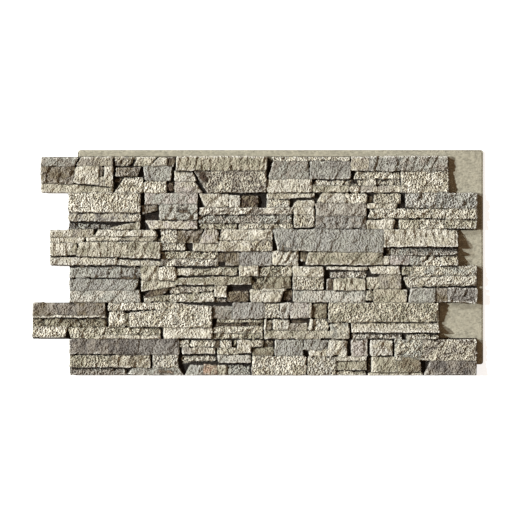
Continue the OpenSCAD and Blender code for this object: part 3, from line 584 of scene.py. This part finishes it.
class StoneCutter:
    """Cuts single stones to shape, and breaks up the faces of all stones of a kind."""

    stone_voxel: float = 2.0
    band: float = 0.628

    def __init__(self, seed: int) -> None:
        """Starts the cutter's random draws."""
        self.draw = random.Random(seed)

    def cut(self, name: str, low: Vector, high: Vector, stone: Stone) -> bpy.types.Object:
        """Cuts one stone between two corners.

        Args:
            name: Name of the new object.
            low: Lowest corner of the stone, sunk into its bed, in metres.
            high: Highest corner, on its face, in metres.
            stone: Stone to cut.

        Returns:
            The stone as one closed mesh.
        """
        if stone.face is Face.LAYERED:
            block = self.stack_layers(name, low, high)
        else:
            block = add_block(name, low, high)
        if stone.face is Face.FACETED:
            self.split_facets(block, low, high)
        self.lean(block, low, high, stone.pulls)
        self.round_edges(block, low, high, RELIEFS[stone.face].bevel * MM)
        apply_modifier(block, "REMESH", mode="VOXEL", voxel_size=self.stone_voxel * MM)
        return block

    def stack_layers(self, name: str, low: Vector, high: Vector) -> bpy.types.Object:
        """Stacks thin slabs with ragged ends and faces.

        Args:
            name: Name of the stack.
            low: Lowest corner of the stack in metres.
            high: Highest corner of the stack in metres.

        Returns:
            The slabs as one object.
        """
        slabs = []
        foot = low.y
        while foot < high.y - 3 * MM:
            head = min(foot + self.draw.uniform(5, 9) * MM, high.y)
            if high.y - head < 3 * MM:
                head = high.y
            start = low.x + self.draw.uniform(0, 4) * MM
            end = high.x - self.draw.uniform(0, 4) * MM
            face = high.z - self.draw.uniform(0, 7) * MM
            slabs.append(add_block(name, Vector((start, foot, low.z)), Vector((end, head, face))))
            foot = head - 0.5 * MM
        return join(name, slabs)

    def split_facets(self, block: bpy.types.Object, low: Vector, high: Vector) -> None:
        """Splits a block into coarse cells and shifts their corners at random.

        Args:
            block: Block to split.
            low: Lowest corner of the block in metres.
            high: Highest corner of the block in metres.
        """
        bpy.ops.object.mode_set(mode="EDIT")
        for axis, cell in ((0, 28 * MM), (1, 20 * MM)):
            cuts = round((high[axis] - low[axis]) / cell) - 1
            if cuts < 1:
                continue
            select_parts(
                block,
                "edges",
                lambda e: abs((e.verts[0].co - e.verts[1].co).normalized()[axis]) > 0.9,
            )
            bpy.ops.mesh.subdivide(number_cuts=cuts)
        select_parts(block, "verts", lambda v: v.co.z > high.z - 1 * MM)
        bpy.ops.transform.vertex_random(offset=6 * MM, seed=self.draw.randrange(10000))
        select_parts(block, "faces", lambda f: f.normal.z > 0.3)
        bpy.ops.mesh.quads_convert_to_tris(quad_method="FIXED", ngon_method="BEAUTY")
        bpy.ops.object.mode_set(mode="OBJECT")

    def lean(
        self, block: bpy.types.Object, low: Vector, high: Vector, pulls: tuple[Pull, ...]
    ) -> None:
        """Leans a stone's face back from its foot, and pulls the named corners.

        Args:
            block: Block to bend.
            low: Lowest corner of the block in metres.
            high: Highest corner of the block in metres.
            pulls: Corners to move.
        """
        points = read_points(block.data)
        along = np.clip((points[:, 0] - low.x) / (high.x - low.x), 0, 1)
        up = np.clip((points[:, 1] - low.y) / (high.y - low.y), 0, 1)
        out = np.clip((points[:, 2] - low.z) / (high.z - low.z), 0, 1)
        pulled = {pull.corner: pull for pull in pulls}
        for corner in Corner:
            side = corner.value
            share = (along if side[0] > 0 else 1 - along) * (up if side[1] > 0 else 1 - up)
            dip = self.draw.uniform(2, 6) if side[1] > 0 else self.draw.uniform(0, 1.5)
            pull = pulled.get(corner, Pull(corner, 0, 0))
            points[:, 0] += share * pull.along * MM
            points[:, 1] += share * pull.up * MM
            points[:, 2] += share * out * (pull.out - dip) * MM
        write_points(block.data, points)

    def round_edges(
        self, block: bpy.types.Object, low: Vector, high: Vector, width: float
    ) -> None:
        """Bevels the edges of a stone's face and the upright edges below it.

        Args:
            block: Block to round.
            low: Lowest corner of the block in metres.
            high: Highest corner of the block in metres.
            width: Width of the bevel in metres.
        """
        width = min(width, (high.y - low.y) / 3, (high.x - low.x) / 3)
        bpy.ops.object.mode_set(mode="EDIT")
        select_parts(
            block,
            "edges",
            lambda e: max(e.verts[0].co.z, e.verts[1].co.z) > low.z + 2 * MM
            and e.calc_face_angle(0) > 1,
        )
        bpy.ops.mesh.bevel(offset=width, segments=2, profile=0.6, affect="EDGES")
        bpy.ops.object.mode_set(mode="OBJECT")

    def add_texture(self, kind: str, size: float, **settings: object) -> bpy.types.Texture:
        """Adds a procedural texture for a displacement.

        Args:
            kind: Blender's name for the texture.
            size: Distance between its features in millimetres.
            settings: Values of the texture.

        Returns:
            The texture.
        """
        texture = bpy.data.textures.new(kind.lower(), kind)
        texture.noise_scale = size * MM
        for name, value in settings.items():
            setattr(texture, name, value)
        return texture

    def break_faces(self, stones: bpy.types.Object, relief: Relief, floor: float) -> None:
        """Cuts the relief of one kind of face into all its stones.

        Args:
            stones: All stones of that kind, as one object.
            relief: Relief to cut.
            floor: Height of the stones' undersides in metres, which stay flat.
        """
        bpy.ops.object.empty_add(rotation=(0, 0, math.radians(relief.turn)))
        guide = bpy.context.object
        guide.scale = (relief.stretch, 1, 1)
        bpy.context.view_layer.update()
        swell = self.add_texture("CLOUDS", relief.swell_size, noise_depth=1)
        grain = self.add_texture("CLOUDS", relief.grain_size, noise_depth=2)
        pits = self.add_texture("VORONOI", relief.pit_size, distance_metric="DISTANCE_SQUARED")
        cuts = ((swell, relief.swell, "LOCAL"), (grain, relief.grain, "OBJECT"),
                (pits, relief.pits, "LOCAL"))
        for texture, depth, coordinates in cuts:
            apply_modifier(
                stones,
                "DISPLACE",
                direction="Z",
                texture=texture,
                texture_coords=coordinates,
                texture_coords_object=guide,
                strength=depth * 1.6 * MM,
                mid_level=0.75,
            )
        bpy.data.objects.remove(guide)
        if relief.ridges:
            self.chisel(stones, relief)
        points = read_points(stones.data)
        np.maximum(points[:, 2], floor, out=points[:, 2])
        write_points(stones.data, points)

    def chisel(self, stones: bpy.types.Object, relief: Relief) -> None:
        """Cuts ridges, steep on one side, into the faces of all stones of a kind.

        Args:
            stones: All stones of that kind, as one object.
            relief: Relief with the depth, the spacing and the turn of its ridges.
        """
        bands = self.add_texture("WOOD", 900, wood_type="BANDNOISE", noise_basis_2="SAW", turbulence=9)
        bpy.ops.object.empty_add(rotation=(0, 0, math.radians(relief.turn - 90)))
        guide = bpy.context.object
        unit = relief.ridge_gap * MM / self.band
        guide.scale = (unit, 3 * unit, 1)
        bpy.context.view_layer.update()
        apply_modifier(
            stones,
            "DISPLACE",
            direction="Z",
            texture=bands,
            texture_coords="OBJECT",
            texture_coords_object=guide,
            strength=relief.ridges * MM,
            mid_level=1.0,
        )
        bpy.data.objects.remove(guide)

    def fray_edges(self, stones: bpy.types.Object) -> None:
        """Bends the outlines of all stones along with their neighbours'.

        Args:
            stones: All stones as one object.
        """
        for number, (size, reach) in enumerate(((45, 3.0), (16, 3.5), (7, 3.5))):
            for axis in ("X", "Y"):
                texture = self.add_texture("CLOUDS", size, noise_depth=1)
                bpy.ops.object.empty_add(location=(number * 0.37, 1.3 if axis == "X" else 2.9, 0))
                guide = bpy.context.object
                bpy.context.view_layer.update()
                apply_modifier(
                    stones,
                    "DISPLACE",
                    direction=axis,
                    texture=texture,
                    texture_coords="OBJECT",
                    texture_coords_object=guide,
                    strength=reach * MM,
                    mid_level=0.5,
                )
                bpy.data.objects.remove(guide)


@dataclass(frozen=True)
class PanelSizes:
    """Sizes of the panel that its stones don't give, in millimetres."""

    finger_top: float = 76
    finger_middle: float = 50
    finger_low: float = 100
    finger_gap: float = 1
    lap_top: float = 19
    lap_right: float = 19
    rebate_bottom: float = 29
    rebate_left: float = 21
    plate: float = 8
    plate_corner: float = 8
    lap_gap: float = 1
    bed: float = 16
    joint: float = -0.3

    @property
    def fingers(self) -> tuple[float, ...]:
        """Reach of each course's finger, from the top."""
        return (self.finger_top, 0, self.finger_middle, 0, self.finger_low, 0)


class Ground:
    """Height of the skin over a square grid, for finding its hollows."""

    def __init__(self, points: np.ndarray, cell: float) -> None:
        """Reads the highest point in each cell, and fills the empty cells from beside.

        Args:
            points: Points of the skin in metres.
            cell: Side of a cell in metres.
        """
        self.low = points.min(0) - 4 * cell
        self.cell = cell
        columns, rows = ((points.max(0) - self.low) / cell).astype(int)[:2] + 5
        self.height = np.zeros((columns, rows))
        place = self.place(points)
        np.maximum.at(self.height, place, points[:, 2])
        empty = self.height == 0
        beside = np.max([np.roll(self.height, step, axis) for step in (-1, 1) for axis in (0, 1)], 0)
        self.height[empty] = beside[empty]

    def place(self, points: np.ndarray) -> tuple[np.ndarray, np.ndarray]:
        """Finds the cell that each point lies in."""
        cells = ((points - self.low) / self.cell).astype(int)
        return cells[:, 0], cells[:, 1]

    def rise(self, points: np.ndarray, reach: float) -> np.ndarray:
        """Measures how far each point stands above the ground round it.

        Args:
            points: Points in metres.
            reach: Half the side of the square that counts as round it, in metres.

        Returns:
            Height over the mean of the square, in metres, below zero in a hollow.
        """
        span = max(1, round(reach / self.cell))
        side = 2 * span + 1
        padded = np.pad(self.height, span, mode="edge")
        total = np.pad(padded.cumsum(0).cumsum(1), ((1, 0), (1, 0)))
        mean = (total[side:, side:] - total[:-side, side:] - total[side:, :-side]
                + total[:-side, :-side]) / side**2
        return points[:, 2] - mean[self.place(points)]


class WallPanel:
    """The moulded panel: its plate, its bed and its stones, fused into one skin."""

    skin_voxel: float = 1.8
    quick_voxel: float = 3.0
    triangles: int = 196000

    def __init__(self, low: Vector, high: Vector, sizes: PanelSizes) -> None:
        """Places the panel in the box that its solids fill.

        Args:
            low: Lowest corner of the solids in metres.
            high: Highest corner of the solids in metres.
            sizes: Sizes of the panel.
        """
        self.low = low
        self.high = high
        self.sizes = sizes
        self.field_left = low.x + max(sizes.fingers) * MM
        self.field_right = high.x - sizes.lap_right * MM
        self.field_top = high.y - sizes.lap_top * MM
        self.course_height = (self.field_top - low.y) / len(COURSES)
        self.stone_floor = (sizes.plate + sizes.lap_gap + sizes.bed) / 2 * MM
        self.cutter = StoneCutter(seed=7)
        self.stones: list[Stone] = []
        self.ground: Optional[Ground] = None
        self.source: Optional[BVHTree] = None
        self.source_stone = np.zeros(0, np.int32)

    def course_foot(self, course: int) -> float:
        """Height of a course's foot, counted from the top one."""
        return self.field_top - (course + 1) * self.course_height

    def course_ends(self, course: int) -> tuple[float, float]:
        """Left and right end of a course."""
        finger = self.sizes.fingers[course]
        socket = finger + self.sizes.finger_gap if finger else 0
        return self.field_left - finger * MM, self.field_right - socket * MM

    def build_plate(self) -> bpy.types.Object:
        """Builds the mounting plate with its round corners."""
        sizes = self.sizes
        left = self.field_left + sizes.rebate_left * MM
        foot = self.low.y + sizes.rebate_bottom * MM
        plate = add_block(
            "plate", Vector((left, foot, 0)), Vector((self.high.x, self.high.y, sizes.plate * MM))
        )
        bpy.ops.object.mode_set(mode="EDIT")
        select_parts(plate, "edges", lambda e: abs(e.verts[0].co.z - e.verts[1].co.z) > 1 * MM)
        bpy.ops.mesh.bevel(offset=sizes.plate_corner * MM, segments=6, affect="EDGES")
        bpy.ops.object.mode_set(mode="OBJECT")
        return plate

    def build_beds(self) -> list[bpy.types.Object]:
        """Builds each course's bed, and the solid back of the courses over the plate."""
        sizes = self.sizes
        beds = []
        for course in range(len(COURSES)):
            left, right = self.course_ends(course)
            foot = self.course_foot(course)
            low = Vector((left, foot, (sizes.plate + sizes.lap_gap) * MM))
            high = Vector((right, foot + self.course_height, sizes.bed * MM))
            beds.append(add_block("bed", low, high))
            back_low = Vector((
                self.field_left + sizes.rebate_left * MM,
                max(foot, self.low.y + sizes.rebate_bottom * MM),
                0,
            ))
            beds.append(add_block("back", back_low, high))
        return beds

    def stone_corners(self, course: int, stone: Stone) -> tuple[Vector, Vector]:
        """Corners of a stone, less its share of the joints round it.

        Args:
            course: Number of its course, from the top.
            stone: The stone.

        Returns:
            Its lowest corner, sunk into the bed, and its highest, on its face.
        """
        foot = self.course_foot(course)
        gap = self.sizes.joint / 2
        low = Vector((
            self.field_left + (stone.left + gap) * MM,
            foot + (stone.foot + gap) * MM,
            self.stone_floor,
        ))
        high = Vector((
            self.field_left + (stone.right - gap) * MM,
            foot + (stone.head - gap) * MM,
            self.high.z - stone.set_back * MM,
        ))
        return low, high

    def build_stones(self) -> bpy.types.Object:
        """Cuts all the stones, and breaks up their faces kind by kind."""
        by_face = {face: [] for face in Face}
        for course, stones in enumerate(COURSES):
            for stone in stones:
                low, high = self.stone_corners(course, stone)
                block = self.cutter.cut("stone", low, high, stone)
                number = np.full(len(block.data.vertices), len(self.stones), np.int32)
                write_attribute(block.data, "stone", "INT", number)
                self.stones.append(stone)
                by_face[stone.face].append(block)
        kinds = []
        for face, blocks in by_face.items():
            kind = join(face.value, blocks)
            self.cutter.break_faces(kind, RELIEFS[face], self.stone_floor)
            LOG.info("%s: %d stones, %d vertices", face.value, len(blocks), len(kind.data.vertices))
            kinds.append(kind)
        stones = join("stones", kinds)
        self.cutter.fray_edges(stones)
        return stones

    def remember_stones(self, stones: bpy.types.Object) -> None:
        """Keeps the stones' surfaces, to tell later which one a point lies on.

        Args:
            stones: All stones as one object.
        """
        mesh = stones.data
        self.source = BVHTree.FromObject(stones, bpy.context.evaluated_depsgraph_get())
        numbers = np.empty(len(mesh.vertices), np.int32)
        mesh.attributes["stone"].data.foreach_get("value", numbers)
        starts = np.empty(len(mesh.polygons), np.int32)
        mesh.polygons.foreach_get("loop_start", starts)
        corners = np.empty(len(mesh.loops), np.int32)
        mesh.loops.foreach_get("vertex_index", corners)
        self.source_stone = numbers[corners[starts]]

    def stone_under(self, points: np.ndarray) -> np.ndarray:
        """Tells the number of the stone that each point lies on or nearest to.

        Args:
            points: Points in metres.

        Returns:
            The number of a stone for each point.
        """
        polygons = [self.source.find_nearest(Vector(point))[2] for point in points.tolist()]
        return self.source_stone[polygons]

    def build(self) -> bpy.types.Object:
        """Builds the whole panel as one skin.

        Returns:
            The panel as one closed mesh.
        """
        stones = self.build_stones()
        self.remember_stones(stones)
        skin = join("wall_panel", [stones, self.build_plate(), *self.build_beds()])
        voxel = self.skin_voxel
        apply_modifier(skin, "REMESH", mode="VOXEL", voxel_size=voxel * MM)
        self.true_up(skin, voxel * MM)
        self.ground = Ground(read_points(skin.data), (voxel + 0.4) * MM)
        triangles = sum(len(p.vertices) - 2 for p in skin.data.polygons)
        LOG.info("skin: %d triangles before thinning", triangles)
        if triangles > self.triangles:
            apply_modifier(skin, "DECIMATE", ratio=self.triangles / triangles)
        self.true_up(skin, 0.0)
        select_only(skin)
        bpy.ops.object.shade_smooth_by_angle(angle=math.radians(35))
        self.shade_plate(skin.data)
        return skin

    def shade_plate(self, mesh: bpy.types.Mesh) -> None:
        """Shades level faces flat, so that the plate and the back show no false curves.

        Args:
            mesh: Mesh of the finished skin.
        """
        normals = np.empty(len(mesh.polygons) * 3, np.float32)
        mesh.polygons.foreach_get("normal", normals)
        mesh.polygons.foreach_set("use_smooth", np.abs(normals[2::3]) < 0.9999)
        mesh.update()

    def true_up(self, skin: bpy.types.Object, slack: float) -> None:
        """Brings the skin onto the flat faces that it lies near, and inside its box.

        Args:
            skin: The fused panel.
            slack: Distance from a flat face at which a point still belongs to it.
        """
        points = read_points(skin.data)
        height = points[:, 2]
        height[height < slack] = 0
        plate = self.sizes.plate * MM
        height[np.abs(height - plate) < slack / 2] = plate
        low = np.array(self.low, np.float32)
        high = np.array(self.high, np.float32)
        np.clip(points, low, high, out=points)
        write_points(skin.data, points)


class PanelPainter:
    """Brushes the stones' colours onto the skin as attributes."""

    plate_tone: str = "#ACA691"
    foam_tone: str = "#B9AE92"
    stains: dict[Tone, Tone] = {
        Tone.CREAM: Tone.SAND,
        Tone.BEIGE: Tone.OLIVE,
        Tone.SAND: Tone.TAUPE,
        Tone.OLIVE: Tone.BROWN,
        Tone.TAUPE: Tone.BROWN,
        Tone.BROWN: Tone.UMBER,
        Tone.UMBER: Tone.BROWN,
        Tone.ASH: Tone.BEIGE,
        Tone.GREY: Tone.TAUPE,
        Tone.BLUE: Tone.ASH,
        Tone.VIOLET: Tone.GREY,
        Tone.SLATE: Tone.TAUPE,
        Tone.PINK: Tone.BEIGE,
        Tone.RUST: Tone.BROWN,
    }

    def __init__(self, panel: WallPanel, seed: int) -> None:
        """Keeps the panel, for its stones and its ground."""
        self.panel = panel
        self.draw = random.Random(seed)

    def brush(self, skin: bpy.types.Object) -> None:
        """Writes the attributes that the paint reads.

        Args:
            skin: The finished panel.
        """
        mesh = skin.data
        points = read_points(mesh)
        stones = self.panel.stones
        owner = self.panel.stone_under(points)
        tones = np.array([linear_colour(stone.tone.value) for stone in stones])
        stains = np.array([
            linear_colour((stone.stain or self.stains[stone.tone]).value) for stone in stones
        ])
        grit = np.array([RELIEFS[stone.face].grit for stone in stones])
        shift = np.array([self.draw.uniform(0.98, 1.13) for _ in stones]) * (0.72 + 0.28 * grit)
        seeds = np.array([self.draw.random() for _ in stones])
        paint = tones[owner] * shift[owner, None]
        stain = stains[owner] * shift[owner, None]
        coarse = grit[owner]
        seed = seeds[owner]
        on_plate = points[:, 2] <= (self.panel.sizes.plate + 0.5) * MM
        paint[on_plate] = stain[on_plate] = linear_colour(self.plate_tone)
        under = points[:, 2] < 1 * MM
        paint[under] = stain[under] = linear_colour(self.foam_tone)
        coarse[on_plate] = 0.1
        coarse[under] = 0
        seed[on_plate] = 0
        ground = self.panel.ground
        # The paint lightens points that stand above the ground round them, a painted highlight, and darkens those
        # that sink below it, painted shade.
        near = np.clip(ground.rise(points, 4 * MM) / (4 * MM), -1, 1)
        wide = np.clip(ground.rise(points, 14 * MM) / (16 * MM), -1, 1)
        # Points down on the bed between stones count as deep hollows, so the paint shades them near black: painted
        # shade in the gaps.
        deep = np.clip((18 * MM - points[:, 2]) / (1 * MM), 0, 1)
        wide = np.where(wide < -0.1, np.minimum(wide, -deep), wide)
        near[on_plate] = 0
        wide[on_plate] = 0
        write_attribute(mesh, "stone_paint", "FLOAT_COLOR", paint.astype(np.float32))
        write_attribute(mesh, "stone_stain", "FLOAT_COLOR", stain.astype(np.float32))
        write_attribute(mesh, "coarse", "FLOAT", coarse.astype(np.float32))
        write_attribute(mesh, "seed", "FLOAT", seed.astype(np.float32))
        write_attribute(mesh, "near_rise", "FLOAT", near.astype(np.float32))
        write_attribute(mesh, "wide_rise", "FLOAT", wide.astype(np.float32))


class Shading:
    """One node tree, with a short way to add a node with its settings and links."""

    def __init__(self, name: str) -> None:
        """Makes a material and empties its tree."""
        self.material = bpy.data.materials.new(name)
        self.material.use_nodes = True
        self.tree = self.material.node_tree
        self.tree.nodes.clear()

    def add(self, kind: str, links: Optional[dict] = None, **settings: object) -> bpy.types.Node:
        """Adds a node with its settings, its constant inputs and its links.

        Args:
            kind: Blender's name for the node, without its prefix.
            links: For each input, by name or number, an output to link or a value to set.
            settings: Properties of the node.

        Returns:
            The new node.
        """
        made = self.tree.nodes.new("ShaderNode" + kind)
        for name, value in settings.items():
            setattr(made, name, value)
        for name, value in (links or {}).items():
            if isinstance(value, bpy.types.NodeSocket):
                self.tree.links.new(value, made.inputs[name])
            else:
                made.inputs[name].default_value = value
        return made

    def read(self, name: str, output: str = "Fac") -> bpy.types.NodeSocket:
        """Reads an attribute of the mesh."""
        return self.add("Attribute", attribute_name=name).outputs[output]

    def noise(self, place: bpy.types.NodeSocket, size: float, detail: float) -> bpy.types.NodeSocket:
        """Adds noise whose features lie a size in millimetres apart."""
        links = {"Vector": place, "Scale": 1 / (size * MM), "Detail": detail, "Roughness": 0.6}
        return self.add("TexNoise", links).outputs["Fac"]

    def spread(
        self, value: bpy.types.NodeSocket, source: tuple[float, float], goal: tuple[float, float]
    ) -> bpy.types.NodeSocket:
        """Maps a range of values to another and clamps it there."""
        links = {0: value, 1: source[0], 2: source[1], 3: goal[0], 4: goal[1]}
        return self.add("MapRange", links).outputs[0]

    def sum(self, operation: str, first: object, second: object) -> bpy.types.NodeSocket:
        """Works out a sum of two values."""
        return self.add("Math", {0: first, 1: second}, operation=operation).outputs[0]

    def mix(self, amount: object, under: object, over: object, how: str = "MIX") -> bpy.types.NodeSocket:
        """Lays one colour over another.

        Args:
            amount: Share of the upper colour.
            under: The lower colour.
            over: The upper colour.
            how: Blender's name for the way they mix.

        Returns:
            The mixed colour.
        """
        links = {0: amount, 6: under, 7: over}
        return self.add("Mix", links, data_type="RGBA", blend_type=how).outputs[2]


@dataclass(frozen=True)
class PaintedFoam:
    """Matt acrylic paint on moulded rigid polyurethane, as on such panels.

    The eye sees a dry, dusty surface: dark brown in the hollows, partly real washes and
    partly painted shade that goes near black in deep gaps; chalky paint on the crests,
    partly real dry-brushing and partly a painted highlight; and mottling between them.
    Sizes are in millimetres.
    """

    # Dark brown of the hollows: real washes in the joints, and painted shade where the hollow masks darken gaps
    # almost to black.
    wash_and_shade: str = "#25180B"
    # Near white of the crests: real dry-brushing, and a painted highlight on every raised edge.
    chalk_and_highlight: str = "#F0EBDD"
    roughness: float = 0.85
    stain: float = 28.0
    mottle: float = 11.0
    chip: float = 5.0
    stroke: float = 4.2
    pit: float = 6.0
    grit_depth: float = 10.0

    def make(self) -> bpy.types.Material:
        """Makes the material."""
        shading = Shading("painted_foam")
        where = shading.add("TexCoord").outputs["Object"]
        seed = shading.read("seed")
        coarse = shading.read("coarse")
        near = shading.read("near_rise")
        wide = shading.read("wide_rise")
        apart = shading.add("VectorMath", {0: (1.7, 2.3, 3.1), "Scale": seed}, operation="SCALE")
        place = shading.add("VectorMath", {0: where, 1: apart.outputs[0]}, operation="ADD").outputs[0]
        turned = shading.add(
            "VectorRotate", {"Vector": place, "Angle": shading.sum("MULTIPLY", seed, 3.1)},
            rotation_type="Z_AXIS",
        ).outputs[0]
        drawn = shading.add("Mapping", {"Vector": turned, "Scale": (0.3, 1, 1)}).outputs[0]
        chips = shading.add("TexVoronoi", {"Vector": place, "Scale": 1 / (self.chip * MM)})
        strokes = shading.add("TexVoronoi", {"Vector": drawn, "Scale": 1 / (self.stroke * MM)})
        grain = shading.add(
            "Mix", {0: coarse, 2: strokes.outputs["Distance"], 3: chips.outputs["Distance"]}
        ).outputs[0]
        soft = shading.noise(place, self.pit, 2.0)
        blotch = shading.spread(shading.noise(place, self.stain, 3.0), (0.42, 0.6), (0, 1))
        base = shading.mix(
            blotch, shading.read("stone_paint", "Color"), shading.read("stone_stain", "Color")
        )
        mottle = shading.spread(shading.noise(place, self.mottle, 3.0), (0.3, 0.7), (0.78, 1.2))
        contrast = shading.spread(coarse, (0, 1), (0.1, 1.0))
        speck = shading.add("Mix", {
            0: contrast, 2: 1.0, 3: shading.spread(grain, (0.16, 0.42), (0.0, 1.85)),
        }).outputs[0]
        shade = shading.sum("MULTIPLY", mottle, speck)
        toned = shading.mix(1.0, base, shade, "MULTIPLY")
        # Painted highlight: points that stand above the ground round them are lightened towards near white, over real
        # dry-brushed paint.
        chalked_and_highlit = shading.mix(
            shading.spread(near, (0.2, 0.7), (0, 0.7)), toned, linear_colour(self.chalk_and_highlight)
        )
        # Painted shade: hollows and the deep gaps between stones darken towards near black brown, over real dark
        # washes in the joints.
        hollow = shading.sum(
            "MAXIMUM", shading.spread(near, (-0.3, -0.8), (0, 0.9)),
            shading.spread(wide, (-0.4, -0.85), (0, 0.95)),
        )
        washed_and_shaded = shading.mix(hollow, chalked_and_highlit, linear_colour(self.wash_and_shade))
        height = shading.sum("ADD", grain, soft)
        bump = shading.add(
            "Bump",
            {"Strength": 1.0, "Distance": self.grit_depth * MM,
             "Height": shading.sum("MULTIPLY", height, coarse)},
        ).outputs[0]
        shader = shading.add(
            "BsdfPrincipled", {"Base Color": washed_and_shaded, "Roughness": self.roughness, "Normal": bump}
        )
        shading.add("OutputMaterial", {"Surface": shader.outputs[0]})
        return shading.material


@dataclass(frozen=True)
class FloorPaper:
    """Matt white paper, which shows white, takes the panel's shadow and is clear from below."""

    tone: str = "#F2F2F0"
    glow: float = 0.8

    def make(self) -> bpy.types.Material:
        """Makes the material."""
        shading = Shading("floor_paper")
        rays = shading.add("LightPath")
        glow = shading.sum("MULTIPLY", rays.outputs["Is Camera Ray"], self.glow)
        shader = shading.add(
            "BsdfPrincipled",
            {"Base Color": linear_colour(self.tone), "Roughness": 0.9,
             "Emission Color": (1, 1, 1, 1), "Emission Strength": glow},
        )
        clear = shading.add("BsdfTransparent")
        below = shading.add("NewGeometry").outputs["Backfacing"]
        paper = shading.add("MixShader", {0: below, 1: shader.outputs[0], 2: clear.outputs[0]})
        shading.add("OutputMaterial", {"Surface": paper.outputs[0]})
        return shading.material


class Studio:
    """Pale floor, plain light and the camera that looks straight down on the panel."""

    lens: float = 150.0
    frame_pixels: float = 522.0
    panel_pixels: float = 453.0
    aim_right: float = 7.7
    aim_up: float = 4.0
    floor_side: float = 40.0
    floor_gap: float = 0.2

    def add_floor(self) -> bpy.types.Object:
        """Adds the floor, a hair below the panel's back so that the two don't share a plane."""
        bpy.ops.object.select_all(action="DESELECT")
        bpy.ops.mesh.primitive_plane_add(size=self.floor_side, location=(0, 0, -self.floor_gap * MM))
        floor = bpy.context.object
        floor.name = "floor"
        floor.data.materials.append(FloorPaper().make())
        floor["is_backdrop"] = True
        return floor

    def add_sun(self, name: str, turn: float, rise: float, strength: float, spread: float) -> None:
        """Adds a lamp far to the left.

        Args:
            name: Name of the lamp.
            turn: How far up the wall it stands from the left, in degrees.
            rise: Its height over the floor, in degrees.
            strength: Its irradiance.
            spread: Its width, in degrees.
        """
        turn = math.radians(turn)
        rise = math.radians(rise)
        towards = Vector((
            -math.cos(turn) * math.cos(rise), math.sin(turn) * math.cos(rise), math.sin(rise)
        ))
        bpy.ops.object.light_add(type="SUN")
        sun = bpy.context.object
        sun.name = name
        sun.rotation_euler = towards.to_track_quat("Z", "Y").to_euler()
        sun.data.energy = strength
        sun.data.angle = math.radians(spread)
        sun.data.color = linear_colour("#F4FAFF")[:3]

    def add_lights(self) -> None:
        """Adds the key light, a second one above it, and an even fill from the world."""
        self.add_sun("key", 7, 38, 2.95, 2)
        self.add_sun("second", 30, 31, 1.75, 5)
        world = bpy.data.worlds.new("studio")
        bpy.context.scene.world = world
        world.use_nodes = True
        tree = world.node_tree
        fill = tree.nodes["Background"]
        fill.inputs["Color"].default_value = linear_colour("#FFD8B4")
        fill.inputs["Strength"].default_value = 0.19
        white = tree.nodes.new("ShaderNodeBackground")
        white.inputs["Color"].default_value = (1, 1, 1, 1)
        rays = tree.nodes.new("ShaderNodeLightPath")
        mixed = tree.nodes.new("ShaderNodeMixShader")
        tree.links.new(rays.outputs["Is Camera Ray"], mixed.inputs[0])
        tree.links.new(fill.outputs[0], mixed.inputs[1])
        tree.links.new(white.outputs[0], mixed.inputs[2])
        tree.links.new(mixed.outputs[0], tree.nodes["World Output"].inputs["Surface"])

    def add_camera(self, low: Vector, high: Vector) -> None:
        """Adds the camera over the panel.

        Args:
            low: Lowest corner of the panel in metres.
            high: Highest corner of the panel in metres.
        """
        width = (high.x - low.x) * self.frame_pixels / self.panel_pixels
        bpy.ops.object.camera_add(rotation=(0, 0, 0))
        camera = bpy.context.object
        camera.name = "camera"
        camera.data.lens = self.lens
        camera.data.clip_end = 100
        distance = width * self.lens / camera.data.sensor_width
        camera.location = (self.aim_right * MM, self.aim_up * MM, high.z + distance)
        bpy.context.scene.camera = camera


def main() -> None:
    """Builds the panel and the studio, and reports each piece."""
    logging.basicConfig(level=logging.INFO, format="%(name)s: %(message)s")
    bpy.context.scene.view_settings.view_transform = "Standard"
    panel = WallPanel(CAD_LOW, CAD_HIGH, PanelSizes())
    skin = panel.build()
    PanelPainter(panel, seed=11).brush(skin)
    skin.data.materials.clear()
    skin.data.materials.append(PaintedFoam().make())
    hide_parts("panel")
    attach(skin, "root")
    LOG.info("%s: %d triangles", skin.name, sum(len(p.vertices) - 2 for p in skin.data.polygons))
    studio = Studio()
    studio.add_floor()
    studio.add_lights()
    studio.add_camera(CAD_LOW, CAD_HIGH)


if __name__ == "__main__":
    main()
